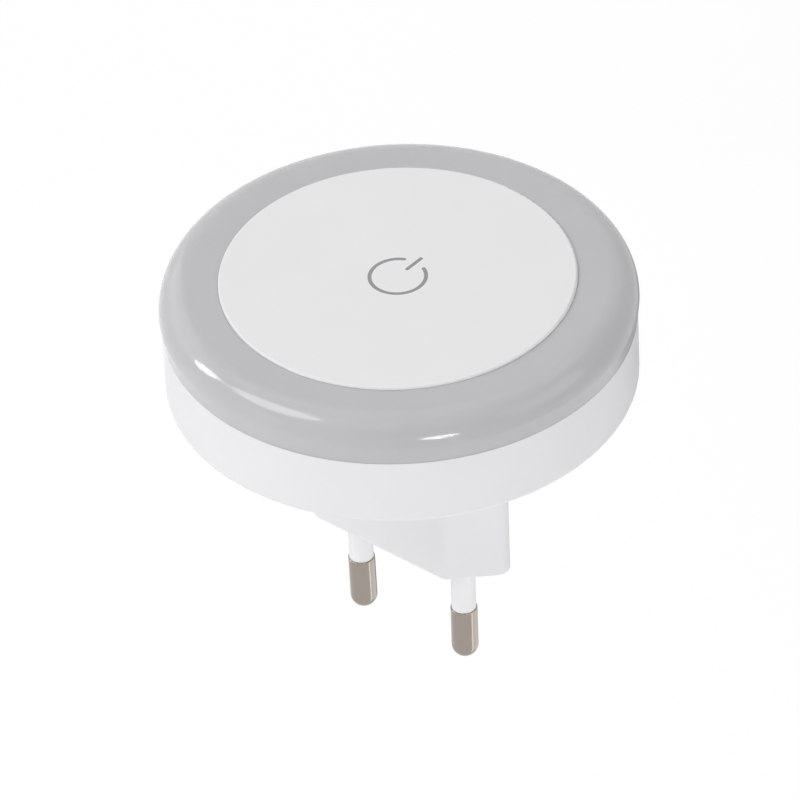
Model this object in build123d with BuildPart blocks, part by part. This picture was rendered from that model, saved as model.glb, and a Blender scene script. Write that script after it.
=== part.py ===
from build123d import *
import math
import os

os.makedirs("parts", exist_ok=True)

# A round night light on a flat two-pin mains plug, in millimetres. The origin is the
# middle of the plug's engagement face. The pins point down, along -Z, and lie on the X
# axis; the lit face looks up, and the stroke of its power mark points along +Y.

# Round body: a white base cup, a frosted ring on its rim and a press cap in the middle
body_radius = 35.0  # widest circle, at the ring's equator
rim_inset = 0.3  # the parting line lies this far inside the widest circle
base_taper = 0.1  # the base narrows by this much from the parting line to its underside
base_height = 10.95  # underside to parting line
base_wall = 1.8
floor_thickness = 1.8
base_edge_radius = 0.9
floor_corner_radius = 1.0
seam_radius = 0.05  # both edges of the parting line are broken by this much
ring_height = 7.05  # parting line to the ring's crown
ring_arc_radius = 4.4  # round outer shoulder of the ring
ring_width = 8.8  # from the widest circle in to the press cap
ring_wall = 1.6
ring_inner_dip = 0.15  # the crown falls this much towards the cap
ring_inner_edge_radius = 0.06
ring_ledge = 0.8  # thickness of the ledge that seats on the base's rim
spigot_depth = 2.4
spigot_wall = 1.3
spigot_gap = 0.1
tab_count = 4
tab_width = 8.0
tab_height = 1.0
tab_reach = 0.6
tab_drop = 1.9  # from the parting line down to the tab's lower face
tab_gap = 0.1

# Plug block: two long flat sides, and ends that come to a rounded point at 45 degrees
plug_width = 38.8  # from point to point, before they are rounded
plug_thickness = 14.0
plug_corner_radius = 2.0
plug_face_radius = 0.4
plug_draft = 0.55  # degrees
plug_foot_radius = 0.7  # fillet between the plug block and the base's underside
block_height = 28.1  # engagement face to the base's underside
block_wall = 1.8
face_wall = 4.0

# Contact pins, which lean towards each other
pin_length = 19.5
pin_radius = 2.0
pin_edge = 0.12
pin_spacing = 20.0  # at the engagement face
pin_tip_spacing = 19.4
sleeve_length = 10.5
sleeve_radius = 1.82
sleeve_wall = 0.33
flange_radius = 2.9
flange_thickness = 1.5
flange_recess = 1.2
tail_radius = 1.0
tail_length = 5.2
press_gap = 0.02  # pressed and moulded-in fits
loose_gap = 0.2  # parts that drop in

# Retainer plate over the pins' flanges, and its screw
retainer_thickness = 2.2
retainer_head_radius = 1.9
retainer_head_height = 1.3
retainer_shank_radius = 1.0
retainer_screw_cover = 1.0  # face wall left under the screw's tip
retainer_slot_margin = 0.5  # from the ends of the head's cross slot to its rim

# Circuit board and the parts on it
board_boss_height = 3.5
board_thickness = 1.6
board_edge_gap = 1.0
screw_ring_radius = 20.0
screw_count = 3
screw_angle = 90.0
screw_shank_radius = 1.2
screw_head_radius = 2.3
screw_head_height = 1.5
screw_boss_wall = 1.9
screw_seat_wall = 1.0  # frame around a screw's sunk head
screw_slot_margin = 0.6
screw_floor_cover = 0.8  # base floor left under a screw's pilot hole
screw_tip_gap = 0.3
drive_slot_width = 0.5
drive_slot_depth = 0.8
led_count = 12
led_length = 3.5
led_width = 2.8
led_height = 0.7
led_window_wall = 0.45
led_window_depth = 0.4
wire_radius = 0.3
wire_bend_radius = 0.6
solder_radius = 0.8
solder_top_radius = 0.34
solder_height = 0.7
wire_stub = 0.9  # wire ends stand this far out of the board
film_capacitor_size = (10.0, 4.5, 11.0)
film_capacitor_place = (-7.9, -1.1)
film_capacitor_pitch = 7.5
film_capacitor_edge = 0.5
can_radius = 3.0
can_height = 11.0
can_place = (7.2, -1.4)
can_pitch = 2.5
can_edge = 0.5
jacket_wall = 0.15
fuse_body_radius = 1.5
fuse_body_length = 9.0
fuse_body_edge = 0.5
fuse_place = (0.0, -9.0)
fuse_pitch = 13.0
fuse_standoff = 0.3
chip_size = (4.9, 3.9, 1.4)
chip_place = (10.0, 9.0)
chip_leg_pitch = 1.27
bridge_size = (4.7, 3.8, 2.4)
bridge_place = (-10.0, 9.0)
bridge_leg_pitch = 2.54
leg_width = 0.45
leg_reach = 1.0
leg_thickness = 0.25
bleed_size = (3.2, 1.6, 0.6)
bleed_place = (10.5, -7.2)
bleed_pitch = 2.4

# Leads from the pins to the board
lead_radius = 0.7
lead_place = (11.6, 3.4)
lead_strip = 0.8  # bare wire between the insulation and the board
bend_share = 0.45  # of the shorter run beside a bend, taken up by the bend
heat_shrink_wall = 0.35
heat_shrink_start = 0.6  # above the retainer plate
heat_shrink_run = 3.0  # past the pin's tail

# Push switch under the middle of the cap
switch_side = 6.2
switch_body_height = 3.3
switch_cover_thickness = 0.3
switch_height = 5.0  # board to the plunger's top
plunger_radius = 1.7
plunger_flange_reach = 0.5
plunger_flange_thickness = 0.7
plunger_gap = 0.1
press_travel = 0.5
free_play = 0.1

# Press cap and the frame that guides it
cap_gap = 0.05
cap_proud = 0.25  # above the ring's crown
cap_thickness = 1.6
cap_edge_radius = 0.35
cap_skirt_depth = 4.2
cap_skirt_wall = 1.2
cap_post_radius = 2.4
cap_rib_width = 1.0
cap_rib_depth = 1.5
ring_skirt_depth = 3.15
ring_skirt_wall = 1.4
web_thickness = 1.4
web_hole_radius = 4.0
spring_count = 3
spring_ring_radius = 13.0
spring_angle = 30.0
spring_length = 4.0
spring_turns = 4.5
spring_coil_radius = 1.9
spring_wire_radius = 0.2
spring_post_height = 1.6
spring_clearance = 0.4
spring_cup_wall = 0.7
spring_cup_depth = 1.2
hook_inset = 4.2  # from the cap's edge to the inner face of a hook's leg
hook_leg = 1.0
hook_width = 5.0
hook_barb = 1.0
hook_barb_height = 1.3
hook_gap = 0.3
hook_rest_gap = 0.05

# Power mark: a broken circle and a stroke, let into the cap
mark_radius = 4.12
mark_line = 0.58
mark_depth = 0.25
mark_gap_angle = 53.0
stroke_start = 1.85
stroke_end = 5.55

# Levels, from the engagement face up
underside_level = block_height
floor_level = underside_level + floor_thickness
parting_level = underside_level + base_height
crown_level = parting_level + ring_height
equator_level = crown_level - ring_arc_radius
cap_level = crown_level + cap_proud
cap_under_level = cap_level - cap_thickness
skirt_level = crown_level - ring_skirt_depth
board_level = floor_level + board_boss_height
board_top = board_level + board_thickness
web_top = cap_under_level - spring_length
web_level = web_top - web_thickness
switch_cover_level = board_top + switch_body_height
plunger_top = board_top + switch_height
flange_level = face_wall - flange_recess
flange_top = flange_level + flange_thickness
tail_top = flange_top + tail_length
retainer_top = face_wall + retainer_thickness

# Radii that fit into one another, from the outside in
rim_radius = body_radius - rim_inset
base_radius = rim_radius - base_taper
base_bore = rim_radius - base_wall
spigot_radius = base_bore - spigot_gap
spigot_bore = spigot_radius - spigot_wall
cap_radius = body_radius - ring_width
skirt_bore = cap_radius + cap_gap
skirt_radius = skirt_bore + ring_skirt_wall
led_ring_radius = (spigot_bore + skirt_radius) / 2
hook_radius = cap_radius - hook_inset
board_radius = base_bore - board_edge_gap
neck_radius = sleeve_radius - sleeve_wall - press_gap
screw_boss_radius = screw_shank_radius + screw_boss_wall
screw_head_gap_radius = screw_head_radius + loose_gap
hook_angle = spring_angle

# Leaning axis of a pin: side is -1 for the left pin and 1 for the right one
pin_lean = math.atan2((pin_spacing - pin_tip_spacing) / 2, pin_length)


def pin_point(side, along):
    across = side * (pin_spacing / 2 + along * math.sin(pin_lean))
    return Vector(across, 0, along * math.cos(pin_lean))


def pin_axis(side):
    return Axis(pin_point(side, 0), pin_point(side, 1) - pin_point(side, 0))


def pin_cross_plane(side, along):
    return Plane(origin=pin_point(side, along), z_dir=pin_axis(side).direction)


# Half section of a pin: local x is the distance from its axis, local y runs along it
def pin_profile_plane(side):
    across = Vector(math.cos(pin_lean), 0, -side * math.sin(pin_lean))
    return Plane(origin=pin_point(side, 0), x_dir=across, z_dir=(0, -1, 0))


# The plug's outline, drawn into the given sketch, with every wall moved in by inset
def draw_plug_outline(sketch, inset):
    point = plug_width / 2 - inset * math.sqrt(2)
    side = plug_thickness / 2 - inset
    shoulder = point - side
    upper = [(point, 0), (shoulder, side), (-shoulder, side)]
    Polygon(*upper, *[(-x, -y) for x, y in upper])
    fillet(sketch.vertices(), plug_corner_radius)


# Corner radii of a lead: each arc is as large as the shorter of its two runs allows
def bend_radii(points):
    radii = []
    for before, corner, after in zip(points, points[1:], points[2:]):
        run_in = corner - before
        run_out = after - corner
        half_turn = math.radians(run_in.get_angle(run_out) / 2)
        radii.append(bend_share * min(run_in.length, run_out.length) / math.tan(half_turn))
    return radii


# Places of the wires that go through the board
def pair_along_x(place, pitch):
    return [(place[0] - pitch / 2, place[1]), (place[0] + pitch / 2, place[1])]


film_wires = pair_along_x(film_capacitor_place, film_capacitor_pitch)
can_wires = pair_along_x(can_place, can_pitch)
fuse_wires = pair_along_x(fuse_place, fuse_pitch)
lead_wires = pair_along_x((0.0, lead_place[1]), 2 * lead_place[0])
wires_from_below = film_wires + can_wires + lead_wires

# Base cup and plug block, one moulding
with BuildPart() as rear_housing:
    with BuildSketch(Plane.XZ) as cup_profile:
        with BuildLine():
            Polyline(
                (0, underside_level),
                (base_radius, underside_level),
                (rim_radius, parting_level),
                (base_bore, parting_level),
                (base_bore, floor_level),
                (0, floor_level),
                close=True,
            )
        make_face()
        corners = cup_profile.vertices()
        fillet(corners.sort_by_distance((base_radius, underside_level))[0], base_edge_radius)
        fillet(corners.sort_by_distance((rim_radius, parting_level))[0], seam_radius)
        fillet(corners.sort_by_distance((base_bore, floor_level))[0], floor_corner_radius)
    revolve(axis=Axis.Z)
    with BuildSketch() as block_outline:
        draw_plug_outline(block_outline, 0)
    extrude(amount=underside_level + floor_thickness / 2, taper=-plug_draft)
    underside = rear_housing.faces().filter_by(Axis.Z).group_by(Axis.Z)[1][0]
    fillet(underside.inner_wires()[0].edges(), plug_foot_radius)
    fillet(rear_housing.faces().sort_by(Axis.Z)[0].edges(), plug_face_radius)
    with BuildSketch(Plane.XY.offset(face_wall)) as block_hollow:
        draw_plug_outline(block_hollow, block_wall)
    extrude(amount=floor_level - face_wall, mode=Mode.SUBTRACT)
    # Three bosses under the board, with pilot holes for its screws
    with BuildSketch(Plane.XY.offset(floor_level)):
        with PolarLocations(screw_ring_radius, screw_count, screw_angle):
            Circle(screw_boss_radius)
    extrude(amount=board_boss_height)
    with BuildSketch(Plane.XY.offset(underside_level + screw_floor_cover)):
        with PolarLocations(screw_ring_radius, screw_count, screw_angle):
            Circle(screw_shank_radius + press_gap)
    extrude(amount=board_level - underside_level, mode=Mode.SUBTRACT)
    # Pockets in the rim for the ring's tabs
    with BuildSketch(Plane.XY.offset(parting_level - tab_drop - tab_gap)):
        with PolarLocations(spigot_radius, tab_count):
            Rectangle(2 * (tab_reach + tab_gap), tab_width + 2 * tab_gap)
    extrude(amount=tab_height + 2 * tab_gap, mode=Mode.SUBTRACT)
    # Leaning holes for the sleeved pins, each with a recess for the pin's flange
    for side in (-1, 1):
        with BuildSketch(pin_cross_plane(side, -flange_recess)):
            Circle(sleeve_radius + press_gap)
        extrude(amount=flange_level + 2 * flange_recess, mode=Mode.SUBTRACT)
        with BuildSketch(pin_cross_plane(side, flange_level)):
            Circle(flange_radius + press_gap)
        extrude(amount=2 * flange_recess, mode=Mode.SUBTRACT)
    # Pilot hole for the retainer's screw
    with BuildSketch(Plane.XY.offset(retainer_screw_cover)):
        Circle(retainer_shank_radius + press_gap)
    extrude(amount=face_wall, mode=Mode.SUBTRACT)
rear_housing.part.label = "rear_housing"
export_step(rear_housing.part, "parts/rear_housing.step")


# Contact pin: round tip, bare end, thin neck inside the sleeve, flange and solder tail
def make_contact_pin(side, name):
    with BuildPart() as contact_pin:
        with BuildSketch(pin_profile_plane(side)):
            with BuildLine():
                tip = CenterArc((0, pin_radius - pin_length), pin_radius, -90, 90)
                Polyline(
                    tip @ 1,
                    (pin_radius, -sleeve_length - pin_edge),
                    (pin_radius - pin_edge, -sleeve_length),
                    (neck_radius, -sleeve_length),
                    (neck_radius, flange_level),
                    (flange_radius, flange_level),
                    (flange_radius, flange_top),
                    (tail_radius, flange_top),
                    (tail_radius, tail_top),
                    (0, tail_top),
                    tip @ 0,
                )
            make_face()
        revolve(axis=pin_axis(side))
    contact_pin.part.label = name
    export_step(contact_pin.part, f"parts/{name}.step")


# Insulating sleeve: from the pin's bare end up to its flange
def make_pin_sleeve(side, name):
    with BuildPart() as pin_sleeve:
        with BuildSketch(pin_cross_plane(side, -sleeve_length)):
            Circle(sleeve_radius)
            Circle(neck_radius + press_gap, mode=Mode.SUBTRACT)
        extrude(amount=sleeve_length + flange_level)
    pin_sleeve.part.label = name
    export_step(pin_sleeve.part, f"parts/{name}.step")


# Insulated lead: straight on from the pin's tail, aside, and up to the board, where its
# bare wire goes through
def make_lead(side, name):
    pad = Vector(side * lead_place[0], lead_place[1], 0)
    insulation_end = board_level - lead_strip
    rise = (insulation_end - pin_point(side, tail_top).Z) / 3  # the middle run rises as much
    route = [
        pin_point(side, tail_top),
        pin_point(side, tail_top + rise),
        pad + Vector(0, 0, insulation_end - rise),
        pad + Vector(0, 0, insulation_end),
    ]
    with BuildPart() as lead:
        with BuildLine() as lead_path:
            FilletPolyline(*route, radius=bend_radii(route))
        with BuildSketch(pin_cross_plane(side, tail_top)):
            Circle(lead_radius)
        sweep(path=lead_path.wires()[0])
        with BuildSketch(Plane.XY.offset(insulation_end)):
            with Locations((pad.X, pad.Y)):
                Circle(wire_radius)
        extrude(amount=lead_strip + board_thickness + wire_stub)
    lead.part.label = name
    export_step(lead.part, f"parts/{name}.step")


for side, side_name, lead_name in ((-1, "left", "live_lead"), (1, "right", "neutral_lead")):
    make_contact_pin(side, f"contact_pin_{side_name}")
    make_pin_sleeve(side, f"pin_sleeve_{side_name}")
    make_lead(side, lead_name)

# Heat-shrink tubes, narrow over the lead and wide over the pin's tail
with BuildPart() as heat_shrink_sleeves:
    for side in (-1, 1):
        with BuildSketch(pin_profile_plane(side)):
            with BuildLine():
                Polyline(
                    (tail_radius + press_gap, retainer_top + heat_shrink_start),
                    (tail_radius + heat_shrink_wall, retainer_top + heat_shrink_start),
                    (tail_radius + heat_shrink_wall, tail_top + heat_shrink_wall),
                    (lead_radius + heat_shrink_wall, tail_top + 2 * heat_shrink_wall),
                    (lead_radius + heat_shrink_wall, tail_top + heat_shrink_run),
                    (lead_radius + press_gap, tail_top + heat_shrink_run),
                    (lead_radius + press_gap, tail_top),
                    (tail_radius + press_gap, tail_top),
                    close=True,
                )
            make_face()
        revolve(axis=pin_axis(side))
heat_shrink_sleeves.part.label = "heat_shrink_sleeves"
export_step(heat_shrink_sleeves.part, "parts/heat_shrink_sleeves.step")

# Plate that drops into the plug block and holds the pins' flanges down
with BuildPart() as pin_retainer:
    with BuildSketch(Plane.XY.offset(face_wall)) as retainer_outline:
        draw_plug_outline(retainer_outline, block_wall + loose_gap)
    extrude(amount=retainer_thickness)
    for side in (-1, 1):
        with BuildSketch(pin_cross_plane(side, flange_level)):
            Circle(flange_radius + loose_gap)
        extrude(amount=flange_thickness + press_gap, mode=Mode.SUBTRACT)
        with BuildSketch(pin_cross_plane(side, flange_top)):
            Circle(tail_radius + loose_gap)
        extrude(amount=2 * retainer_thickness, mode=Mode.SUBTRACT)
    with BuildSketch(Plane.XY.offset(face_wall)):
        Circle(retainer_shank_radius + press_gap)
    extrude(amount=retainer_thickness, mode=Mode.SUBTRACT)
pin_retainer.part.label = "pin_retainer"
export_step(pin_retainer.part, "parts/pin_retainer.step")

with BuildPart() as retainer_screw:
    with BuildSketch(Plane.XY.offset(retainer_top)):
        Circle(retainer_head_radius)
    extrude(amount=retainer_head_height)
    with BuildSketch(Plane.XY.offset(retainer_screw_cover + screw_tip_gap)):
        Circle(retainer_shank_radius)
    extrude(amount=retainer_top - retainer_screw_cover - screw_tip_gap)
    retainer_slot_length = 2 * (retainer_head_radius - retainer_slot_margin)
    with BuildSketch(Plane.XY.offset(retainer_top + retainer_head_height)):
        Rectangle(retainer_slot_length, drive_slot_width)
        Rectangle(drive_slot_width, retainer_slot_length)
    extrude(amount=-drive_slot_depth, mode=Mode.SUBTRACT)
retainer_screw.part.label = "retainer_screw"
export_step(retainer_screw.part, "parts/retainer_screw.step")

# Round board on the three bosses
with BuildPart() as circuit_board:
    with BuildSketch(Plane.XY.offset(board_level)):
        Circle(board_radius)
        with PolarLocations(screw_ring_radius, screw_count, screw_angle):
            Circle(screw_shank_radius + loose_gap, mode=Mode.SUBTRACT)
        with Locations(*wires_from_below, *fuse_wires):
            Circle(wire_radius + press_gap, mode=Mode.SUBTRACT)
    extrude(amount=board_thickness)
circuit_board.part.label = "circuit_board"
export_step(circuit_board.part, "parts/circuit_board.step")

# Dropper capacitor, hanging under the board into the plug block
with BuildPart() as film_capacitor:
    with BuildSketch(Plane.XY.offset(board_level)):
        with Locations(film_capacitor_place):
            Rectangle(film_capacitor_size[0], film_capacitor_size[1])
    extrude(amount=-film_capacitor_size[2])
    fillet(film_capacitor.edges().filter_by(Axis.Z), film_capacitor_edge)
film_capacitor.part.label = "film_capacitor"
export_step(film_capacitor.part, "parts/film_capacitor.step")

# Smoothing capacitor: an aluminium can in a printed jacket
with BuildPart() as smoothing_capacitor:
    with BuildSketch(Plane.XY.offset(board_level)):
        with Locations(can_place):
            Circle(can_radius)
    extrude(amount=-can_height)
    fillet(smoothing_capacitor.edges().group_by(Axis.Z)[0], can_edge)
smoothing_capacitor.part.label = "smoothing_capacitor"
export_step(smoothing_capacitor.part, "parts/smoothing_capacitor.step")

with BuildPart() as capacitor_jacket:
    with BuildSketch(Plane.XY.offset(board_level)):
        with Locations(can_place):
            Circle(can_radius + press_gap + jacket_wall)
            Circle(can_radius + press_gap, mode=Mode.SUBTRACT)
    extrude(amount=can_edge - can_height)
capacitor_jacket.part.label = "capacitor_jacket"
export_step(capacitor_jacket.part, "parts/capacitor_jacket.step")

# Fusible resistor, lying on the board
fuse_axis_level = board_top + fuse_standoff + fuse_body_radius
with BuildPart() as fuse_resistor:
    with BuildSketch(Plane.YZ.offset(fuse_place[0])):
        with Locations((fuse_place[1], fuse_axis_level)):
            Circle(fuse_body_radius)
    extrude(amount=fuse_body_length / 2, both=True)
    fillet(fuse_resistor.edges().filter_by(GeomType.CIRCLE), fuse_body_edge)
fuse_resistor.part.label = "fuse_resistor"
export_step(fuse_resistor.part, "parts/fuse_resistor.step")

# Bare wires of the capacitors, which stand in the board, and of the resistor, which
# bend down into it
with BuildPart() as component_leads:
    with BuildSketch(Plane.XY.offset(board_level)):
        with Locations(*film_wires, *can_wires):
            Circle(wire_radius)
    extrude(amount=board_thickness + wire_stub)
    for side in (-1, 1):
        body_end = fuse_place[0] + side * fuse_body_length / 2
        bend_at = fuse_place[0] + side * fuse_pitch / 2
        with BuildLine() as wire_path:
            FilletPolyline(
                (body_end, fuse_place[1], fuse_axis_level),
                (bend_at, fuse_place[1], fuse_axis_level),
                (bend_at, fuse_place[1], board_level - wire_stub),
                radius=wire_bend_radius,
            )
        with BuildSketch(Plane(origin=wire_path.wires()[0] @ 0, z_dir=(side, 0, 0))):
            Circle(wire_radius)
        sweep(path=wire_path.wires()[0])
component_leads.part.label = "component_leads"
export_step(component_leads.part, "parts/component_leads.step")


# A solder cone around each wire, on the side of the board where the wire ends
ends_above = [(place, board_top, solder_height) for place in wires_from_below]
ends_below = [(place, board_level, -solder_height) for place in fuse_wires]
with BuildPart() as solder_joints:
    for place, level, height in ends_above + ends_below:
        foot = (place[0], place[1], level)
        with BuildSketch(Plane(origin=foot, x_dir=(1, 0, 0), z_dir=(0, -1, 0))):
            with BuildLine():
                Polyline(
                    (wire_radius + press_gap, 0),
                    (solder_radius, 0),
                    (solder_top_radius, height),
                    (wire_radius + press_gap, height),
                    close=True,
                )
            make_face()
        revolve(axis=Axis(foot, (0, 0, 1)))
solder_joints.part.label = "solder_joints"
export_step(solder_joints.part, "parts/solder_joints.step")


# Small flat bodies on the board's upper face, held up by their legs
def make_chip(name, size, place):
    with BuildPart() as chip:
        with BuildSketch(Plane.XY.offset(board_top + leg_thickness)):
            with Locations(place):
                Rectangle(size[0], size[1])
        extrude(amount=size[2])
        chamfer(chip.faces().sort_by(Axis.Z)[-1].edges(), leg_thickness)
    chip.part.label = name
    export_step(chip.part, f"parts/{name}.step")


make_chip("controller_chip", chip_size, chip_place)
make_chip("bridge_rectifier", bridge_size, bridge_place)

with BuildPart() as chip_legs:
    with BuildSketch(Plane.XY.offset(board_top)):
        with Locations(chip_place):
            with GridLocations(chip_leg_pitch, chip_size[1] + leg_reach, 4, 2):
                Rectangle(leg_width, 2 * leg_reach)
        with Locations(bridge_place):
            with GridLocations(bridge_leg_pitch, bridge_size[1] + leg_reach, 2, 2):
                Rectangle(leg_width, 2 * leg_reach)
    extrude(amount=leg_thickness)
chip_legs.part.label = "chip_legs"
export_step(chip_legs.part, "parts/chip_legs.step")

with BuildPart() as bleed_resistors:
    with BuildSketch(Plane.XY.offset(board_top)):
        with Locations(bleed_place):
            with GridLocations(0, bleed_pitch, 1, 2):
                Rectangle(bleed_size[0], bleed_size[1])
    extrude(amount=bleed_size[2])
bleed_resistors.part.label = "bleed_resistors"
export_step(bleed_resistors.part, "parts/bleed_resistors.step")

# Ring of LEDs: white packages with a window of phosphor let into each top
led_window = (led_width - 2 * led_window_wall, led_length - 2 * led_window_wall)
with BuildPart() as led_chips:
    with BuildSketch(Plane.XY.offset(board_top)):
        with PolarLocations(led_ring_radius, led_count):
            Rectangle(led_width, led_length)
    extrude(amount=led_height)
    with BuildSketch(Plane.XY.offset(board_top + led_height)):
        with PolarLocations(led_ring_radius, led_count):
            Rectangle(*led_window)
    extrude(amount=-led_window_depth, mode=Mode.SUBTRACT)
led_chips.part.label = "led_chips"
export_step(led_chips.part, "parts/led_chips.step")

with BuildPart() as led_phosphors:
    with BuildSketch(Plane.XY.offset(board_top + led_height)):
        with PolarLocations(led_ring_radius, led_count):
            Rectangle(*led_window)
    extrude(amount=-led_window_depth)
led_phosphors.part.label = "led_phosphors"
export_step(led_phosphors.part, "parts/led_phosphors.step")

# Push switch: a box with a round well, a metal cover and a flanged plunger
plunger_flange_radius = plunger_radius + plunger_flange_reach
plunger_flange_level = switch_cover_level - plunger_flange_thickness
switch_well_depth = plunger_flange_thickness + press_travel + plunger_gap
with BuildPart() as switch_body:
    with BuildSketch(Plane.XY.offset(board_top)):
        Rectangle(switch_side, switch_side)
    extrude(amount=switch_body_height)
    with BuildSketch(Plane.XY.offset(switch_cover_level)):
        Circle(plunger_flange_radius + plunger_gap)
    extrude(amount=-switch_well_depth, mode=Mode.SUBTRACT)
switch_body.part.label = "switch_body"
export_step(switch_body.part, "parts/switch_body.step")

with BuildPart() as switch_cover:
    with BuildSketch(Plane.XY.offset(switch_cover_level)):
        Rectangle(switch_side, switch_side)
        Circle(plunger_radius + plunger_gap, mode=Mode.SUBTRACT)
    extrude(amount=switch_cover_thickness)
switch_cover.part.label = "switch_cover"
export_step(switch_cover.part, "parts/switch_cover.step")

with BuildPart() as switch_plunger:
    with BuildSketch(Plane.XY.offset(plunger_flange_level - press_gap)):
        Circle(plunger_flange_radius)
    extrude(amount=plunger_flange_thickness)
    with BuildSketch(Plane.XY.offset(plunger_flange_level)):
        Circle(plunger_radius)
    extrude(amount=plunger_top - plunger_flange_level)
switch_plunger.part.label = "switch_plunger"
export_step(switch_plunger.part, "parts/switch_plunger.step")

# Inner frame: a wall between the LEDs and the cap, under the ring's skirt, and a web
# that carries the springs and guides the cap's hooks
with BuildPart() as inner_frame:
    with BuildSketch(Plane.XY.offset(board_top)):
        Circle(skirt_radius)
        Circle(skirt_bore, mode=Mode.SUBTRACT)
    extrude(amount=skirt_level - board_top)
    with BuildSketch(Plane.XY.offset(web_level)):
        Circle((skirt_radius + skirt_bore) / 2)
        Circle(web_hole_radius, mode=Mode.SUBTRACT)
    extrude(amount=web_thickness)
    with BuildSketch(Plane.XY.offset(board_top)):
        with PolarLocations(screw_ring_radius, screw_count, screw_angle):
            Circle(screw_head_gap_radius + screw_seat_wall)
    extrude(amount=web_level - board_top)
    with BuildSketch(Plane.XY.offset(web_top)):
        with PolarLocations(spring_ring_radius, spring_count, spring_angle):
            Circle(spring_coil_radius - spring_wire_radius - spring_clearance)
    extrude(amount=spring_post_height)
    with BuildSketch(Plane.XY.offset(board_top)):
        with PolarLocations(screw_ring_radius, screw_count, screw_angle):
            Circle(screw_shank_radius + loose_gap)
    extrude(amount=web_top - board_top, mode=Mode.SUBTRACT)
    with BuildSketch(Plane.XY.offset(web_top)):
        with PolarLocations(screw_ring_radius, screw_count, screw_angle):
            Circle(screw_head_gap_radius)
    extrude(amount=-screw_head_height, mode=Mode.SUBTRACT)
    # Windows for the hooks, wide enough inwards for a leg to flex while its barb passes
    window_inner = hook_radius - hook_barb
    window_outer = hook_radius + hook_leg + hook_gap
    with BuildSketch(Plane.XY.offset(web_top)):
        with PolarLocations((window_inner + window_outer) / 2, spring_count, hook_angle):
            Rectangle(window_outer - window_inner, hook_width + 2 * hook_gap)
    extrude(amount=-web_thickness, mode=Mode.SUBTRACT)
inner_frame.part.label = "inner_frame"
export_step(inner_frame.part, "parts/inner_frame.step")

# Screws through frame and board into the housing
head_seat_level = web_top - screw_head_height
screw_tip_level = underside_level + screw_floor_cover + screw_tip_gap
with BuildPart() as frame_screws:
    with BuildSketch(Plane.XY.offset(head_seat_level)):
        with PolarLocations(screw_ring_radius, screw_count, screw_angle):
            Circle(screw_head_radius)
    extrude(amount=screw_head_height)
    with BuildSketch(Plane.XY.offset(screw_tip_level)):
        with PolarLocations(screw_ring_radius, screw_count, screw_angle):
            Circle(screw_shank_radius)
    extrude(amount=head_seat_level - screw_tip_level)
    screw_slot_length = 2 * (screw_head_radius - screw_slot_margin)
    with BuildSketch(Plane.XY.offset(web_top)):
        with PolarLocations(screw_ring_radius, screw_count, screw_angle):
            Rectangle(screw_slot_length, drive_slot_width)
            Rectangle(drive_slot_width, screw_slot_length)
    extrude(amount=-drive_slot_depth, mode=Mode.SUBTRACT)
frame_screws.part.label = "frame_screws"
export_step(frame_screws.part, "parts/frame_screws.step")

# Coil springs between the web and the cap
with BuildPart() as coil_spring:
    coil_height = spring_length - 2 * spring_wire_radius
    with BuildLine() as coil_path:
        Helix(coil_height / spring_turns, coil_height, spring_coil_radius)
    with BuildSketch(Plane(origin=coil_path.line @ 0, z_dir=coil_path.line % 0)):
        Circle(spring_wire_radius)
    sweep(is_frenet=True)

with BuildPart(Plane.XY.offset(web_top + spring_wire_radius)) as return_springs:
    with PolarLocations(spring_ring_radius, spring_count, spring_angle):
        add(coil_spring.part)
return_springs.part.label = "return_springs"
export_step(return_springs.part, "parts/return_springs.step")

# Frosted ring: a round-shouldered shell, a spigot with tabs inside the base's rim and a
# skirt around the cap
ring_arc_middle = body_radius - ring_arc_radius
ledge_level = parting_level + ring_ledge
with BuildPart() as diffuser_ring:
    with BuildSketch(Plane.XZ) as ring_profile:
        with BuildLine():
            Polyline(
                (spigot_radius, parting_level - spigot_depth),
                (spigot_radius, parting_level),
                (rim_radius, parting_level),
                (body_radius, equator_level),
            )
            CenterArc((ring_arc_middle, equator_level), ring_arc_radius, 0, 90)
            Polyline(
                (ring_arc_middle, crown_level),
                (skirt_bore, crown_level - ring_inner_dip),
                (skirt_bore, skirt_level),
                (skirt_radius, skirt_level),
                (skirt_radius, crown_level - ring_wall),
                (ring_arc_middle, crown_level - ring_wall),
            )
            CenterArc((ring_arc_middle, equator_level), ring_arc_radius - ring_wall, 90, -90)
            Polyline(
                (body_radius - ring_wall, equator_level),
                (body_radius - ring_wall, ledge_level),
                (spigot_bore, ledge_level),
                (spigot_bore, parting_level - spigot_depth),
                (spigot_radius, parting_level - spigot_depth),
            )
        make_face()
        corners = ring_profile.vertices()
        inner_edge = (skirt_bore, crown_level - ring_inner_dip)
        fillet(corners.sort_by_distance(inner_edge)[0], ring_inner_edge_radius)
        fillet(corners.sort_by_distance((rim_radius, parting_level))[0], seam_radius)
    revolve(axis=Axis.Z)
    with BuildSketch(Plane.XY.offset(parting_level - tab_drop)):
        with PolarLocations(spigot_radius, tab_count):
            Rectangle(2 * tab_reach, tab_width)
    extrude(amount=tab_height)
diffuser_ring.part.label = "diffuser_ring"
export_step(diffuser_ring.part, "parts/diffuser_ring.step")

# Hook of the cap: a leg with a barb that catches under the frame's web
barb_level = web_level - hook_rest_gap
with BuildPart() as cap_hook:
    with BuildSketch(Plane.XZ):
        with BuildLine():
            Polyline(
                (hook_radius, cap_under_level),
                (hook_radius + hook_leg, cap_under_level),
                (hook_radius + hook_leg, barb_level),
                (hook_radius + hook_leg + hook_barb, barb_level),
                (hook_radius + hook_leg, barb_level - hook_barb_height),
                (hook_radius, barb_level - hook_barb_height),
                close=True,
            )
        make_face()
    extrude(amount=hook_width / 2, both=True)


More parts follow.
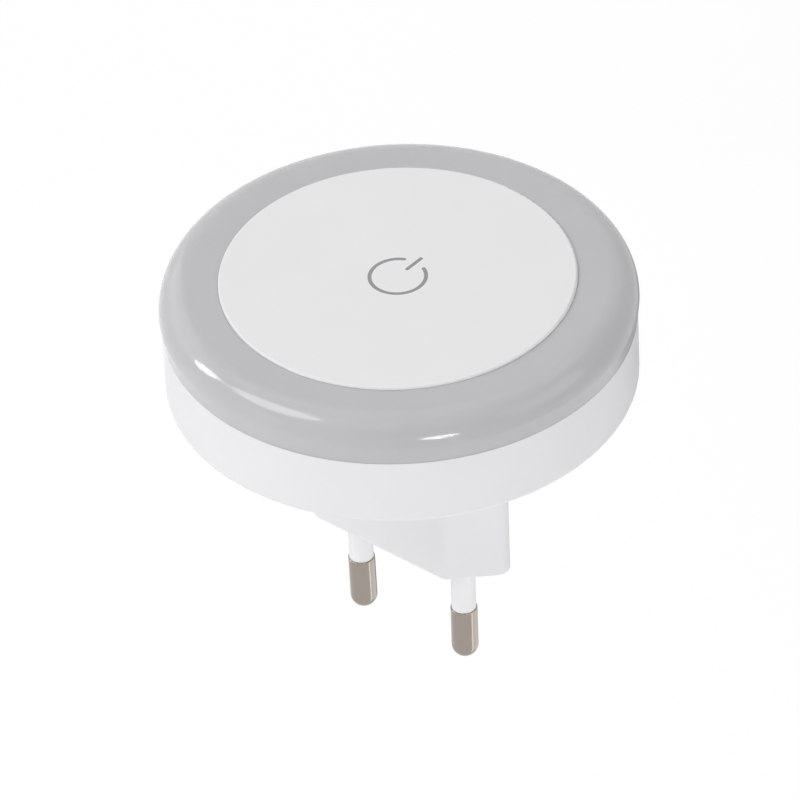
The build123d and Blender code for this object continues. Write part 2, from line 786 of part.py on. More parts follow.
# The power mark, drawn into the sketch that is open
def draw_power_mark():
    gap_start = 90 + mark_gap_angle / 2
    with BuildLine(mode=Mode.PRIVATE) as broken_circle:
        CenterArc((0, 0), mark_radius, gap_start, 360 - mark_gap_angle)
    SlotArc(broken_circle.edge(), mark_line)
    with BuildLine(mode=Mode.PRIVATE) as stroke:
        Line((0, stroke_start + mark_line / 2), (0, stroke_end - mark_line / 2))
    SlotArc(stroke.edge(), mark_line)


# Press cap: a disc with a skirt, ribs, spring cups, hooks and a post over the switch
with BuildPart() as press_cap:
    with BuildSketch(Plane.XY.offset(cap_under_level)):
        Circle(cap_radius)
    extrude(amount=cap_thickness)
    fillet(press_cap.edges().group_by(Axis.Z)[-1], cap_edge_radius)
    with BuildSketch(Plane.XY.offset(cap_under_level)):
        Circle(cap_radius)
        Circle(cap_radius - cap_skirt_wall, mode=Mode.SUBTRACT)
    extrude(amount=cap_thickness - cap_skirt_depth)
    with BuildSketch(Plane.XY.offset(cap_under_level)):
        with PolarLocations(cap_radius / 2, screw_count, screw_angle):
            Rectangle(cap_radius - cap_skirt_wall, cap_rib_width)
    extrude(amount=-cap_rib_depth)
    spring_cup_radius = spring_coil_radius + spring_wire_radius + spring_clearance
    with BuildSketch(Plane.XY.offset(cap_under_level)):
        with PolarLocations(spring_ring_radius, spring_count, spring_angle):
            Circle(spring_cup_radius + spring_cup_wall)
            Circle(spring_cup_radius, mode=Mode.SUBTRACT)
    extrude(amount=-spring_cup_depth)
    with BuildSketch(Plane.XY.offset(cap_under_level)):
        Circle(cap_post_radius)
    extrude(amount=plunger_top + free_play - cap_under_level)
    with PolarLocations(0, spring_count, hook_angle):
        add(cap_hook.part)
    with BuildSketch(Plane.XY.offset(cap_level)):
        draw_power_mark()
    extrude(amount=-mark_depth, mode=Mode.SUBTRACT)
press_cap.part.label = "press_cap"
export_step(press_cap.part, "parts/press_cap.step")

with BuildPart() as power_symbol:
    with BuildSketch(Plane.XY.offset(cap_level)):
        draw_power_mark()
    extrude(amount=-mark_depth)
power_symbol.part.label = "power_symbol"
export_step(power_symbol.part, "parts/power_symbol.step")
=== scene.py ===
from math import atan2, cos, pi, radians, sin

import bmesh
import bpy
from mathutils import Matrix, Vector


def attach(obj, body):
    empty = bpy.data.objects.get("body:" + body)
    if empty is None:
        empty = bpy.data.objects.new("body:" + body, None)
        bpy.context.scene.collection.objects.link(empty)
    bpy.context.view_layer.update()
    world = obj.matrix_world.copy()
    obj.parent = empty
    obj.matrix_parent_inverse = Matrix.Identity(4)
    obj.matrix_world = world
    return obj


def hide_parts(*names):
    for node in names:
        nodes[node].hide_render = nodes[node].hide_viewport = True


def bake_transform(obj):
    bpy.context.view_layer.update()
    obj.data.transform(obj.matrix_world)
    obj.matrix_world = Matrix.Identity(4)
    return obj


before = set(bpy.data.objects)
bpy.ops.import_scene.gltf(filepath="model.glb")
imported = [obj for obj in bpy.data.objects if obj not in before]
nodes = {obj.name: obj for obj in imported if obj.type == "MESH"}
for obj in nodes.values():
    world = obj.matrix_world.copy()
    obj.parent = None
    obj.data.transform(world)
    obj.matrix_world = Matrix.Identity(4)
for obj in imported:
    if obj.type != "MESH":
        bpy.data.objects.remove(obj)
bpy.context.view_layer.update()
mm = 0.001
print("frame loaded:", len(nodes), "nodes")

# The camera looks down at the lit face from far away, a little rolled
camera = {
    "azimuth": 41.6,
    "elevation": 38.2,
    "roll": -2.8,
    "distance": 2.2,
    "aim": (2.0, -3.09, 26.35),  # mm
    "lens": 678.8,
    "sensor": 36,
    "clip": (0.1, 20),
}


def fromCamera(azimuth, elevation):
    # a direction counted from where the camera stands; azimuth grows to its right
    turn = radians(camera["azimuth"] + azimuth)
    rise = radians(elevation)
    return Vector((sin(turn) * cos(rise), -cos(turn) * cos(rise), sin(rise)))


def makeCamera():
    data = bpy.data.cameras.new("camera")
    data.lens = camera["lens"]
    data.sensor_width = camera["sensor"]
    data.clip_start, data.clip_end = camera["clip"]
    eye = bpy.data.objects.new("camera", data)
    bpy.context.scene.collection.objects.link(eye)
    back = fromCamera(0, camera["elevation"])
    roll = Matrix.Rotation(radians(camera["roll"]), 3, "Z").to_quaternion()
    eye.rotation_mode = "QUATERNION"
    eye.rotation_quaternion = back.to_track_quat("Z", "Y") @ roll
    eye.location = Vector(camera["aim"]) * mm + back * camera["distance"]
    bpy.context.scene.camera = eye


makeCamera()


# Materials


def linear(colour):
    # an sRGB hex colour as the linear one that the sockets want
    parts = [int(colour[i:i + 2], 16) / 255 for i in (1, 3, 5)]
    return (*[p / 12.92 if p <= 0.04045 else ((p + 0.055) / 1.055) ** 2.4 for p in parts], 1)


def addNode(tree, kind, inputs, **settings):
    # a node with its settings; an input is a value or another node's output
    made = tree.nodes.new("ShaderNode" + kind)
    for name, value in settings.items():
        setattr(made, name, value)
    for name, value in inputs.items():
        if isinstance(value, bpy.types.NodeSocket):
            tree.links.new(value, made.inputs[name])
        else:
            made.inputs[name].default_value = value
    return made


# Each finish: two colours that drift into each other over cloud mm, a grain of that many mm
# and depth mm in the relief, the gloss between two roughnesses, and the shader's own sockets
finishes = {
    # ABS moulded in a finely spark-eroded tool: an even, soft white sheen, no texture to the eye
    "mouldedAbs": {
        "colour": "#e4e4e6", "second": "#e0e0e2", "cloud": 14, "grain": 0.4, "depth": 0.002,
        "rough": (0.36, 0.46), "sockets": {"IOR": 1.54},
    },
    # the cap's ABS, a little warmer and duller: its tool face was eroded more coarsely
    "satinAbs": {
        "colour": "#e6e6e6", "second": "#e3e3e4", "cloud": 12, "grain": 0.35, "depth": 0.003,
        "rough": (0.46, 0.56), "sockets": {"IOR": 1.54},
    },
    # polyamide sleeve moulded on the pin: waxy white, light goes a little way in
    "mouldedPolyamide": {
        "colour": "#ebebec", "second": "#e6e6e8", "cloud": 5, "grain": 0.3, "depth": 0.002,
        "rough": (0.34, 0.44), "sockets": {"IOR": 1.53},
    },
    # nickel plate on turned brass: warm grey, smooth, with faint lines along the pin
    "nickelPlate": {
        "colour": "#a29991", "second": "#9c938b", "cloud": 3, "grain": 0.3, "depth": 0.002,
        "rough": (0.1, 0.18), "stretch": (1, 1, 0.08), "sockets": {"Metallic": 1.0},
    },
    # ink-grey ABS let into the cap: matt, so it keeps the same grey from every side
    "inlaidGreyAbs": {
        "colour": "#8f8f90", "second": "#8a8a8c", "cloud": 2, "grain": 0.25, "depth": 0.002,
        "rough": (0.45, 0.55), "sockets": {"IOR": 1.54},
    },
    # polycarbonate plate over the pins' flanges: off-white and matt
    "mouldedPolycarbonate": {
        "colour": "#cdccc8", "second": "#c5c4c0", "cloud": 5, "grain": 0.3, "depth": 0.004,
        "rough": (0.42, 0.55), "sockets": {"IOR": 1.58},
    },
    # highly reflective white polycarbonate, as light guides are framed with
    "reflectorPolycarbonate": {
        "colour": "#ececea", "second": "#e4e4e2", "cloud": 9, "grain": 0.3, "depth": 0.004,
        "rough": (0.5, 0.62), "sockets": {"IOR": 1.58},
    },
    # zinc-plated steel screws: bright blue-grey with a faint crystalline bloom
    "zincPlatedSteel": {
        "colour": "#a9adb3", "second": "#94989d", "cloud": 0.9, "grain": 0.2, "depth": 0.002,
        "rough": (0.24, 0.4), "sockets": {"Metallic": 1.0},
    },
    # stainless strip, stamped: fine rolling lines one way
    "rolledStainless": {
        "colour": "#b4b3b0", "second": "#a5a4a1", "cloud": 1.5, "grain": 0.15, "depth": 0.002,
        "rough": (0.22, 0.36), "stretch": (0.08, 1, 1), "sockets": {"Metallic": 1.0},
    },
    # extruded PVC insulation, brown for live: smooth, half gloss
    "brownPvc": {
        "colour": "#57351f", "second": "#4c2e1b", "cloud": 2, "grain": 0.25, "depth": 0.003,
        "rough": (0.32, 0.42), "sockets": {"IOR": 1.53},
    },
    # the same insulation in blue for neutral
    "bluePvc": {
        "colour": "#1f4a99", "second": "#1b4189", "cloud": 2, "grain": 0.25, "depth": 0.003,
        "rough": (0.32, 0.42), "sockets": {"IOR": 1.53},
    },
    # heat-shrunk polyolefin: black, slightly wrinkled where it shrank
    "shrunkPolyolefin": {
        "colour": "#17171a", "second": "#1f1f22", "cloud": 1.2, "grain": 0.5, "depth": 0.02,
        "rough": (0.38, 0.5), "sockets": {"IOR": 1.5},
    },
    # moulded capacitor box: brick red, half gloss
    "capacitorBox": {
        "colour": "#9d2e1a", "second": "#8f2817", "cloud": 4, "grain": 0.3, "depth": 0.004,
        "rough": (0.3, 0.42), "sockets": {"IOR": 1.55},
    },
    # deep-drawn aluminium can: pale, with drawing lines along the can
    "drawnAluminium": {
        "colour": "#c3c4c6", "second": "#b3b4b6", "cloud": 1.5, "grain": 0.2, "depth": 0.003,
        "rough": (0.24, 0.38), "stretch": (1, 1, 0.06), "sockets": {"Metallic": 1.0},
    },
    # shrunk PVC film round the can: near-black blue, glossy, faint ripples
    "shrunkFilm": {
        "colour": "#131a28", "second": "#182135", "cloud": 2, "grain": 0.8, "depth": 0.01,
        "rough": (0.16, 0.26), "sockets": {"IOR": 1.53},
    },
    # tinned copper wire and legs: bright soft grey
    "tinnedCopper": {
        "colour": "#b9b8b4", "second": "#a6a5a2", "cloud": 0.6, "grain": 0.15, "depth": 0.002,
        "rough": (0.24, 0.4), "sockets": {"Metallic": 1.0},
    },
    # solder that set bright: smooth with dull patches of flux
    "brightSolder": {
        "colour": "#bcbcbd", "second": "#9b9b9c", "cloud": 0.5, "grain": 0.25, "depth": 0.006,
        "rough": (0.16, 0.42), "sockets": {"Metallic": 1.0},
    },
    # filled epoxy of chip bodies: black and matt, from a blasted tool
    "mouldedEpoxy": {
        "colour": "#161617", "second": "#1d1d1e", "cloud": 1.5, "grain": 0.12, "depth": 0.006,
        "rough": (0.5, 0.66), "sockets": {"IOR": 1.55},
    },
    # glazed face of chip resistors: black glass over white ceramic
    "glazedCeramic": {
        "colour": "#1a1a1d", "second": "#242428", "cloud": 0.8, "grain": 0.2, "depth": 0.003,
        "rough": (0.2, 0.34), "sockets": {"IOR": 1.52},
    },
    # white polyphthalamide cup of the light-emitting diodes
    "whitePolyphthalamide": {
        "colour": "#ededea", "second": "#e3e3df", "cloud": 1, "grain": 0.15, "depth": 0.003,
        "rough": (0.46, 0.6), "sockets": {"IOR": 1.6},
    },
    # silicone cast over the diode, full of yellow phosphor: glossy and a little cloudy
    "phosphorSilicone": {
        "colour": "#eccb46", "second": "#e0bb33", "cloud": 0.5, "grain": 0.2, "depth": 0.002,
        "rough": (0.12, 0.2), "sockets": {"IOR": 1.42},
    },
    # glass-filled nylon of the switch: black, dull, with a fibrous surface
    "blackNylon": {
        "colour": "#18181a", "second": "#222224", "cloud": 1.5, "grain": 0.2, "depth": 0.006,
        "rough": (0.44, 0.58), "stretch": (1, 0.3, 1), "sockets": {"IOR": 1.53},
    },
    # acetal of the switch's plunger: creamy white, slippery half gloss
    "mouldedAcetal": {
        "colour": "#d6d5ce", "second": "#cdccc5", "cloud": 1.5, "grain": 0.2, "depth": 0.002,
        "rough": (0.3, 0.4), "sockets": {"IOR": 1.48},
    },
    # hard-drawn spring wire: grey steel with lines along the wire
    "springWire": {
        "colour": "#8f9092", "second": "#7d7e80", "cloud": 0.6, "grain": 0.15, "depth": 0.002,
        "rough": (0.26, 0.4), "sockets": {"Metallic": 1.0},
    },
    # white solder mask over glass cloth: the weave shows as a faint relief of 0.6 mm
    "solderMask": {
        "colour": "#dfe3df", "second": "#d3d8d3", "cloud": 5, "grain": 0.6, "depth": 0.004,
        "rough": (0.28, 0.4), "sockets": {"IOR": 1.5},
    },
    # cement-coated fusible resistor: matt grey-green with painted rings
    "dippedCement": {
        "colour": "#6f8375", "second": "#64786b", "cloud": 1.5, "grain": 0.3, "depth": 0.01,
        "rough": (0.42, 0.56), "sockets": {"IOR": 1.5},
    },
    # acrylic with light-scattering filler, moulded in a polished tool: milky grey when it is
    # dark inside, under a clear gloss
    "frostedAcrylic": {
        "colour": "#c1c1c3", "second": "#bdbdbf", "cloud": 10, "grain": 0.6, "depth": 0.001,
        "rough": (0.1, 0.13),
        "sockets": {
            "IOR": 1.49,
            "Subsurface Weight": 1.0,
            "Subsurface Radius": (1, 1, 1),
            "Subsurface Scale": 1.0 * mm,
        },
    },
}


def wovenCloth(tree, place, colour, look):
    # two crossed threads of the cloth under the mask, drawn coarser than their real 0.4 mm
    height = []
    for direction in ("X", "Y"):
        height.append(addNode(tree, "TexWave", {
            "Vector": place,
            "Scale": look["threads"] / mm,
        }, bands_direction=direction).outputs["Fac"])
    crossed = addNode(tree, "Math", {0: height[0], 1: height[1]}, operation="MAXIMUM").outputs[0]
    return addNode(tree, "Mix", {
        "Factor": crossed,
        "A": colour,
        "B": linear(look["thread"]),
    }, data_type="RGBA").outputs["Result"]


def paintedRings(tree, place, colour, look):
    # rings at even steps along X, each in its own colour
    across = addNode(tree, "SeparateXYZ", {"Vector": place}).outputs["X"]
    for middle, ring in look["rings"]:
        inside = addNode(tree, "Math", {
            0: across, 1: middle * mm, 2: look["ringWidth"] / 2 * mm,
        }, operation="COMPARE").outputs[0]
        colour = addNode(tree, "Mix", {
            "Factor": inside, "A": colour, "B": linear(ring),
        }, data_type="RGBA").outputs["Result"]
    return colour


finishes["solderMask"].update(paint=wovenCloth, threads=0.5, thread="#c9d0c9")
finishes["dippedCement"].update(
    paint=paintedRings,
    ringWidth=0.7,
    rings=((-2.6, "#3a2a1c"), (-1.2, "#141414"), (0.2, "#141414"), (2.6, "#b98a2c")),
)


noiseRange = (0.3, 0.7)  # nearly all of a noise's values lie between these


def makeFinish(name, look):
    made = bpy.data.materials.new(name)
    made.use_nodes = True
    tree = made.node_tree
    tree.nodes.clear()
    place = addNode(tree, "TexCoord", {}).outputs["Object"]
    drawn = addNode(tree, "Mapping", {"Vector": place, "Scale": look.get("stretch", (1, 1, 1))})
    clouds = addNode(tree, "TexNoise", {"Vector": place, "Scale": 1 / (look["cloud"] * mm)})
    colour = addNode(tree, "Mix", {
        "Factor": clouds.outputs["Fac"],
        "A": linear(look["colour"]),
        "B": linear(look["second"]),
    }, data_type="RGBA").outputs["Result"]
    if "paint" in look:
        colour = look["paint"](tree, place, colour, look)
    grain = addNode(tree, "TexNoise", {
        "Vector": drawn.outputs[0],
        "Scale": 1 / (look["grain"] * mm),
    }).outputs["Fac"]
    gloss = addNode(tree, "MapRange", {
        "Value": grain,
        "From Min": noiseRange[0],
        "From Max": noiseRange[1],
        "To Min": look["rough"][0],
        "To Max": look["rough"][1],
    })
    relief = addNode(tree, "Bump", {"Height": grain, "Distance": look["depth"] * mm})
    shader = addNode(tree, "BsdfPrincipled", {
        "Base Color": colour,
        "Roughness": gloss.outputs[0],
        "Normal": relief.outputs[0],
        **look["sockets"],
    })
    addNode(tree, "OutputMaterial", {"Surface": shader.outputs[0]})
    return made


materials = {name: makeFinish(name, look) for name, look in finishes.items()}
print("materials made:", len(materials))

# What each part of the CAD model is made of
nodeFinishes = {
    "rear_housing": "mouldedAbs",
    "contact_pin_left": "nickelPlate",
    "contact_pin_right": "nickelPlate",
    "pin_sleeve_left": "mouldedPolyamide",
    "pin_sleeve_right": "mouldedPolyamide",
    "pin_retainer": "mouldedPolycarbonate",
    "retainer_screw": "zincPlatedSteel",
    "live_lead": "brownPvc",
    "neutral_lead": "bluePvc",
    "heat_shrink_sleeves": "shrunkPolyolefin",
    "circuit_board": "solderMask",
    "film_capacitor": "capacitorBox",
    "smoothing_capacitor": "drawnAluminium",
    "capacitor_jacket": "shrunkFilm",
    "fuse_resistor": "dippedCement",
    "component_leads": "tinnedCopper",
    "solder_joints": "brightSolder",
    "controller_chip": "mouldedEpoxy",
    "bridge_rectifier": "mouldedEpoxy",
    "chip_legs": "tinnedCopper",
    "bleed_resistors": "glazedCeramic",
    "led_chips": "whitePolyphthalamide",
    "led_phosphors": "phosphorSilicone",
    "switch_body": "blackNylon",
    "switch_cover": "rolledStainless",
    "switch_plunger": "mouldedAcetal",
    "inner_frame": "reflectorPolycarbonate",
    "frame_screws": "zincPlatedSteel",
    "return_springs": "springWire",
    "diffuser_ring": "frostedAcrylic",
    "press_cap": "satinAbs",
    "power_symbol": "inlaidGreyAbs",
}
for name, node in nodes.items():
    for slot in node.material_slots:
        slot.material = materials[nodeFinishes[name]]


# Turned pieces: a closed section is drawn, its corners are rounded, and it is spun
turning = {
    "weld": 0.001,  # mm; points nearer than this become one
    "leastSegments": 6,  # of a rounded corner
    "segmentsPerMm": 5,
    "sharpAngle": 35,  # degrees; a steeper edge is shaded as a sharp one
}


def spinSection(corners, steps):
    # corners are radius, height and rounding, in mm
    weld = turning["weld"] * mm
    bm = bmesh.new()
    points = [bm.verts.new((radius * mm, 0, height * mm)) for radius, height, rounding in corners]
    bm.faces.new(points)
    for point, (radius, height, rounding) in zip(points, corners):
        if rounding:
            segments = max(turning["leastSegments"], round(rounding * turning["segmentsPerMm"]))
            bmesh.ops.bevel(
                bm, geom=[point], offset=rounding * mm, offset_type="OFFSET",
                segments=segments, profile=0.5, affect="VERTICES", material=-1,
            )
    # only the outline is spun, without what lies on the axis
    bmesh.ops.delete(bm, geom=bm.faces[:], context="FACES_ONLY")
    bmesh.ops.remove_doubles(bm, verts=bm.verts[:], dist=weld)
    onAxis = [edge for edge in bm.edges if all(abs(v.co.x) < weld for v in edge.verts)]
    bmesh.ops.delete(bm, geom=onAxis, context="EDGES")
    bmesh.ops.spin(
        bm, geom=bm.verts[:] + bm.edges[:], cent=(0, 0, 0), axis=(0, 0, 1), dvec=(0, 0, 0),
        angle=2 * pi, steps=steps, use_merge=True, use_duplicate=False,
    )
    bmesh.ops.remove_doubles(bm, verts=bm.verts[:], dist=weld)
    bmesh.ops.recalc_face_normals(bm, faces=bm.faces[:])
    return bm


def finishPiece(name, bm, finish, node, body="housing"):
    # body is None for a piece that is attached to no body
    mesh = bpy.data.meshes.new(name)
    bm.to_mesh(mesh)
    bm.free()
    mesh.shade_smooth()
    mesh.set_sharp_from_angle(angle=radians(turning["sharpAngle"]))
    mesh.materials.append(materials[finish])
    piece = bpy.data.objects.new(name, mesh)
    bpy.context.scene.collection.objects.link(piece)
    # flat faces keep their own shading beside the small roundings
    weighted = piece.modifiers.new("weightedNormals", "WEIGHTED_NORMAL")
    weighted.keep_sharp = True
    if body:
        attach(piece, body)
    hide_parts(node)
    return piece


# Radii and heights in mm: the outside, the side round the cap, its skirt, the spigot in the base
diffuserRing = {
    "radius": 35.0,
    "rim": 34.7,
    "rimEdge": 0.02,
    "parting": 39.05,
    "equator": 41.7,
    "crown": 46.1,
    "shoulder": 4.4,
    "wall": 1.6,
    "capSide": 26.21,
    "capSideEdge": 0.03,
    "capSideDip": 0.15,
    "skirt": 27.65,
    "skirtBottom": 42.95,
    "skirtEdge": 0.1,
    "ledge": 39.85,
    "spigotOut": 32.8,
    "spigotIn": 31.5,
    "spigotBottom": 36.65,
    "spigotEdge": 0.2,
    "tabBottom": 37.15,
    "tabTop": 38.15,
    "tabReach": 0.6,
    "tabHalfWidth": 4.0,
    "tabFacing": 0.9,  # how squarely a face looks the tab's way to be part of it
    "tabs": 4,
    "steps": 256,
}


def makeDiffuserRing(look):
    under = look["crown"] - look["wall"]
    inside = look["radius"] - look["wall"]
    bm = spinSection([
        (look["spigotOut"], look["spigotBottom"], look["spigotEdge"]),
        (look["spigotOut"], look["tabBottom"], 0),
        (look["spigotOut"], look["tabTop"], 0),
        (look["spigotOut"], look["parting"], 0),
        (look["rim"], look["parting"], look["rimEdge"]),
        (look["radius"], look["equator"], 0),
        (look["radius"], look["crown"], look["shoulder"]),
        (look["capSide"], look["crown"] - look["capSideDip"], look["capSideEdge"]),
        (look["capSide"], look["skirtBottom"], look["skirtEdge"]),
        (look["skirt"], look["skirtBottom"], look["skirtEdge"]),
        (look["skirt"], under, 0),
        (inside, under, look["shoulder"] - look["wall"]),
        (inside, look["ledge"], 0),
        (look["spigotIn"], look["ledge"], 0),
        (look["spigotIn"], look["spigotBottom"], look["spigotEdge"]),
    ], look["steps"])
    # tabs on the spigot: the faces between two of its edges, drawn outwards
    for i in range(look["tabs"]):
        turn = 2 * pi * i / look["tabs"]
        outwards = Vector((cos(turn), sin(turn), 0))
        sideways = Vector((-sin(turn), cos(turn), 0))
        chosen = []
        for face in bm.faces:
            middle = face.calc_center_median() / mm
            level = look["tabBottom"] < middle.z < look["tabTop"]
            within = abs(middle.dot(sideways)) < look["tabHalfWidth"] and middle.dot(outwards) > 0
            if level and within and face.normal.dot(outwards) > look["tabFacing"]:
                chosen.append(face)
        drawn = bmesh.ops.extrude_face_region(bm, geom=chosen)["geom"]
        bmesh.ops.delete(bm, geom=chosen, context="FACES")
        raised = [part for part in drawn if isinstance(part, bmesh.types.BMVert)]
        bmesh.ops.translate(bm, verts=raised, vec=outwards * look["tabReach"] * mm)
    bmesh.ops.recalc_face_normals(bm, faces=bm.faces[:])
    finishPiece("diffuserRing", bm, "frostedAcrylic", "diffuser_ring")


makeDiffuserRing(diffuserRing)
print("ring spun")

# Radii and heights in mm from the plug's face; the pins lean towards each other at their tips
contactPin = {
    "spacing": 20.0,
    "tipSpacing": 19.4,
    "length": 19.5,
    "radius": 2.0,
    "shoulderEdge": 0.12,
    "neck": 1.47,
    "sleeveRadius": 1.82,
    "sleeveBore": 1.49,
    "sleeveLength": 10.5,
    "sleeveEdge": 0.08,
    "flangeRadius": 2.9,
    "flangeBottom": 2.8,
    "flangeTop": 4.3,
    "flangeEdge": 0.15,
    "tailRadius": 1.0,
    "tailTop": 9.5,
    "tailEdge": 0.2,
    "steps": 96,
}


def makePins(look):
    lean = atan2((look["spacing"] - look["tipSpacing"]) / 2, look["length"])
    shoulder = -look["sleeveLength"]
    pinCorners = [
        (0, -look["length"], 0),
        (look["radius"], -look["length"], look["radius"]),
        (look["radius"], shoulder, look["shoulderEdge"]),
        (look["neck"], shoulder, 0),
        (look["neck"], look["flangeBottom"], 0),
        (look["flangeRadius"], look["flangeBottom"], look["flangeEdge"]),
        (look["flangeRadius"], look["flangeTop"], look["flangeEdge"]),
        (look["tailRadius"], look["flangeTop"], 0),
        (look["tailRadius"], look["tailTop"], look["tailEdge"]),
        (0, look["tailTop"], 0),
    ]
    sleeveCorners = [
        (look["sleeveBore"], shoulder, 0),
        (look["sleeveRadius"], shoulder, look["sleeveEdge"]),
        (look["sleeveRadius"], look["flangeBottom"], 0),
        (look["sleeveBore"], look["flangeBottom"], 0),
    ]
    for side, word in ((-1, "left"), (1, "right")):
        stand = Matrix.Translation((side * look["spacing"] / 2 * mm, 0, 0))
        place = stand @ Matrix.Rotation(side * lean, 4, "Y")
        for corners, kind, node, finish, slot in (
            (pinCorners, "contactPin", "contact_pin_", "nickelPlate", "nickel_plate"),
            (sleeveCorners, "pinSleeve", "pin_sleeve_", "mouldedPolyamide", "sleeve_plastic"),
        ):
            bm = spinSection(corners, look["steps"])
            bmesh.ops.transform(bm, matrix=place, verts=bm.verts[:])
            finishPiece(kind + word.capitalize(), bm, finish, node + word)


makePins(contactPin)
print("pins and sleeves spun")

# Three springs on a ring under the cap, in mm and degrees
coilSprings = {
    "count": 3,
    "ringRadius": 13.0,
    "firstAngle": 30.0,
    "bottom": 40.75,
    "length": 4.0,
    "turns": 4.5,
    "coilRadius": 1.9,
    "wireRadius": 0.2,
    "wireSides": 14,
    "stepsPerTurn": 40,
}


def makeSprings(look):
    bm = bmesh.new()
    steps = round(look["turns"] * look["stepsPerTurn"])
    wire = look["wireRadius"]
    rise = look["length"] - 2 * wire
    lean = atan2(rise / look["turns"], 2 * pi * look["coilRadius"])
    for i in range(look["count"]):
        made = bmesh.ops.create_circle(bm, segments=look["wireSides"], radius=wire * mm)["verts"]
        # the wire's round section stands across the coil and leans with its rise
        turn = Matrix.Rotation(radians(look["firstAngle"]) + 2 * pi * i / look["count"], 4, "Z")
        foot = Vector((look["ringRadius"], 0, look["bottom"] + wire)) * mm
        place = turn @ Matrix.Translation(foot)
        across = Matrix.Translation((look["coilRadius"] * mm, 0, 0))
        stand = across @ Matrix.Rotation(pi / 2 + lean, 4, "X")
        bmesh.ops.transform(bm, matrix=place @ stand, verts=made)
        rim = list({edge for point in made for edge in point.link_edges})
        bmesh.ops.spin(
            bm, geom=made + rim, cent=place.translation, axis=(0, 0, 1),
            dvec=(0, 0, rise / steps * mm), angle=2 * pi * look["turns"], steps=steps,
            use_merge=False, use_duplicate=False,
        )
    ends = [edge for edge in bm.edges if edge.is_boundary]
    bmesh.ops.holes_fill(bm, edges=ends, sides=0)
    bmesh.ops.recalc_face_normals(bm, faces=bm.faces[:])
    piece = finishPiece("returnSprings", bm, "springWire", "return_springs", body=None)
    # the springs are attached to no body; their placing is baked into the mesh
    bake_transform(piece)


makeSprings(coilSprings)
print("springs wound")

# Floor, world and lamps: a plain white studio. What the camera and reflections see of it is
# white; only the shade of the object is left on the floor
studio = {
    "floorLevel": -260.0,  # mm
    "floorSize": 8.0,
    "floorCells": 8,
    "floorColour": "#fafafa",
    "floorGlow": 0.96,
    "fill": 0.32,
    "aim": (0, 0, 25),  # mm
    "lampDistance": 1.6,
}
# A grey board with faded edges on the floor: the right side of the base mirrors it, and the
# camera doesn't see it. It lies so many mm from the middle, as seen from the camera, and half
# holds half its sides in metres
greyBoard = {
    "right": 190,
    "towards": -400,
    "over": 1.0,
    "half": (0.21, 0.27),
    "fadeFrom": 0.4,
    "colour": "#a0a0a0",
}
# A lamp hangs where from says, in degrees right of the camera and above the floor, and looks at
# the aim. Its first side lies level unless along turns it. Distances and sizes are in metres
lamps = {
    # the long streak on the ring's left shoulder, and its fading tail
    "keySoftbox": {"from": (-106, 28), "size": (0.3, 0.6), "power": 4.5, "shape": "ELLIPSE"},
    "tailReflector": {
        "from": (-77, 49), "along": (-51, 57), "size": (1.0, 0.72), "power": 7.2,
        "shape": "ELLIPSE",
    },
    # the short streak in front
    "frontSoftbox": {"from": (14.5, 7), "size": (0.44, 0.31), "power": 4.3, "shape": "ELLIPSE"},
    # soft light from above and both sides
    "topSheet": {"from": (0, 86), "size": (2.4, 2.4), "power": 10.9},
    "rightSheet": {"from": (70, 28), "size": (1.1, 1.0), "power": 3.6},
    "leftSheet": {"from": (-136, 28), "size": (1.2, 1.0), "power": 2.6},
    # light for the plug block, which doesn't show in the ring's gloss
    "lowFront": {
        "from": (-26, -30), "distance": 0.5, "size": (0.5, 0.3), "power": 0.85, "glossy": False,
    },
    "lowBack": {
        "from": (180, -20), "distance": 0.5, "size": (0.6, 0.18), "power": 0.4, "glossy": False,
    },
    # a bright line and a paler band on the right side of the bare pins
    "lowCard": {"from": (66, -51.4), "distance": 0.128, "size": (0.013, 0.068), "power": 0.0033},
    "lowSheet": {"from": (106, -53), "distance": 0.129, "size": (0.11, 0.04), "power": 0.0053},
}


def seenFactor(tree):
    # 1 for the camera's own rays and for those it gets by gloss or through glass
    path = addNode(tree, "LightPath", {}).outputs
    either = addNode(tree, "Math", {
        0: path["Is Camera Ray"], 1: path["Is Glossy Ray"],
    }, operation="ADD")
    return addNode(tree, "Math", {
        0: either.outputs[0], 1: path["Is Transmission Ray"],
    }, operation="ADD", use_clamp=True).outputs[0]


def makeWorld(look):
    world = bpy.data.worlds.new("studio")
    world.use_nodes = True
    tree = world.node_tree
    tree.nodes.clear()
    fill = addNode(tree, "Background", {"Color": linear("#ffffff"), "Strength": look["fill"]})
    white = addNode(tree, "Background", {"Color": linear("#ffffff"), "Strength": 1.0})
    mixed = addNode(tree, "MixShader", {
        0: seenFactor(tree), 1: fill.outputs[0], 2: white.outputs[0],
    })
    addNode(tree, "OutputWorld", {"Surface": mixed.outputs[0]})
    bpy.context.scene.world = world


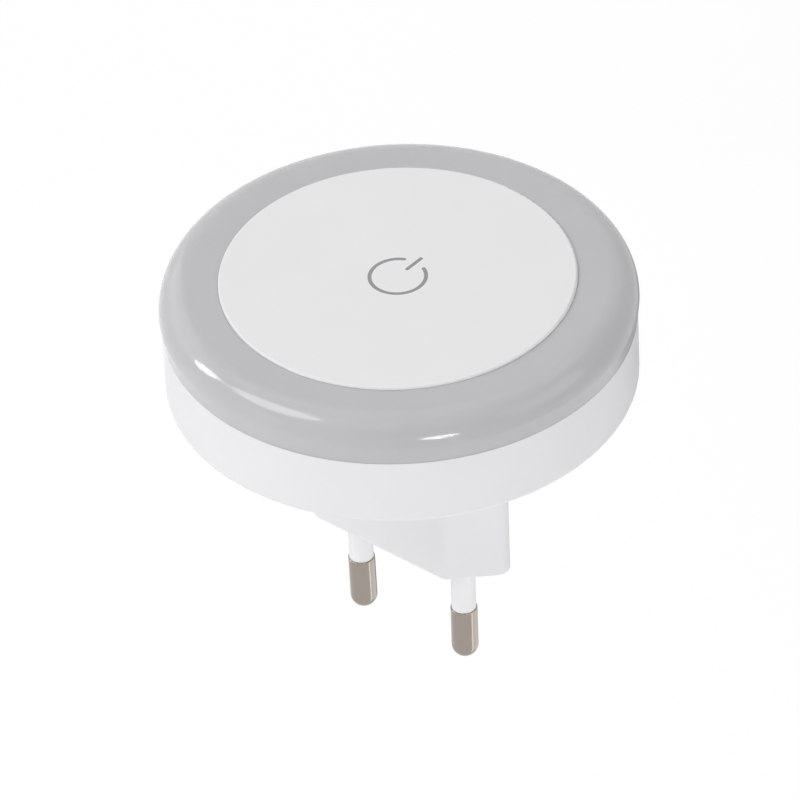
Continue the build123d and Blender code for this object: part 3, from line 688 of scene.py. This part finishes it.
def makeFloor(look):
    bm = bmesh.new()
    cells = look["floorCells"]
    bmesh.ops.create_grid(bm, x_segments=cells, y_segments=cells, size=look["floorSize"] / 2)
    bmesh.ops.translate(bm, verts=bm.verts[:], vec=(0, 0, look["floorLevel"] * mm))
    mesh = bpy.data.meshes.new("floor")
    bm.to_mesh(mesh)
    bm.free()
    made = bpy.data.materials.new("paintedBoard")
    made.use_nodes = True
    tree = made.node_tree
    tree.nodes.clear()
    paper = addNode(tree, "BsdfDiffuse", {"Color": linear(look["floorColour"])})
    glow = addNode(tree, "Emission", {"Color": linear("#ffffff"), "Strength": 1.0})
    share = addNode(tree, "Math", {0: seenFactor(tree), 1: look["floorGlow"]}, operation="MULTIPLY")
    mixed = addNode(tree, "MixShader", {
        0: share.outputs[0], 1: paper.outputs[0], 2: glow.outputs[0],
    })
    addNode(tree, "OutputMaterial", {"Surface": mixed.outputs[0]})
    mesh.materials.append(made)
    floor = bpy.data.objects.new("floor", mesh)
    bpy.context.scene.collection.objects.link(floor)


def makeGreyBoard(look):
    bm = bmesh.new()
    bmesh.ops.create_grid(bm, x_segments=1, y_segments=1, size=1)
    bmesh.ops.scale(bm, vec=(*look["half"], 1), verts=bm.verts[:])
    mesh = bpy.data.meshes.new("greyBoard")
    bm.to_mesh(mesh)
    bm.free()
    made = bpy.data.materials.new("greyPaint")
    made.use_nodes = True
    tree = made.node_tree
    tree.nodes.clear()
    place = addNode(tree, "TexCoord", {}).outputs["Object"]
    share = addNode(tree, "VectorMath", {
        0: place, 1: (*look["half"], 1),
    }, operation="DIVIDE").outputs[0]
    out = addNode(tree, "VectorMath", {0: share}, operation="LENGTH").outputs["Value"]
    fade = addNode(tree, "MapRange", {
        "Value": out, "From Min": look["fadeFrom"], "From Max": 1.0, "To Min": 1.0, "To Max": 0.0,
    }, interpolation_type="SMOOTHSTEP").outputs[0]
    paint = addNode(tree, "BsdfDiffuse", {"Color": linear(look["colour"])})
    clear = addNode(tree, "BsdfTransparent", {"Color": linear("#ffffff")})
    mixed = addNode(tree, "MixShader", {0: fade, 1: clear.outputs[0], 2: paint.outputs[0]})
    addNode(tree, "OutputMaterial", {"Surface": mixed.outputs[0]})
    mesh.materials.append(made)
    board = bpy.data.objects.new("greyBoard", mesh)
    board.visible_camera = False
    board.visible_shadow = False
    board.rotation_euler.z = radians(camera["azimuth"])
    right, towards = fromCamera(90, 0), fromCamera(0, 0)
    board.location = (right * look["right"] + towards * look["towards"]) * mm
    board.location.z = (studio["floorLevel"] + look["over"]) * mm
    bpy.context.scene.collection.objects.link(board)


def makeLamp(name, look):
    data = bpy.data.lights.new(name, "AREA")
    data.shape = look.get("shape", "RECTANGLE")
    data.size, data.size_y = look["size"]
    data.energy = look["power"]
    lamp = bpy.data.objects.new(name, data)
    lamp.visible_glossy = look.get("glossy", True)
    bpy.context.scene.collection.objects.link(lamp)
    away = fromCamera(*look["from"])
    across = fromCamera(*look.get("along", (look["from"][0] + 90, 0)))
    across = (across - across.dot(away) * away).normalized()
    turn = Matrix((across, away.cross(across), away)).transposed()
    lamp.rotation_mode = "QUATERNION"
    lamp.rotation_quaternion = turn.to_quaternion()
    distance = look.get("distance", studio["lampDistance"])
    lamp.location = Vector(studio["aim"]) * mm + away * distance


makeWorld(studio)
makeFloor(studio)
makeGreyBoard(greyBoard)
for lampName, lampLook in lamps.items():
    makeLamp(lampName, lampLook)
bpy.context.scene.view_settings.view_transform = "Standard"
print("studio made:", len(lamps), "lamps")
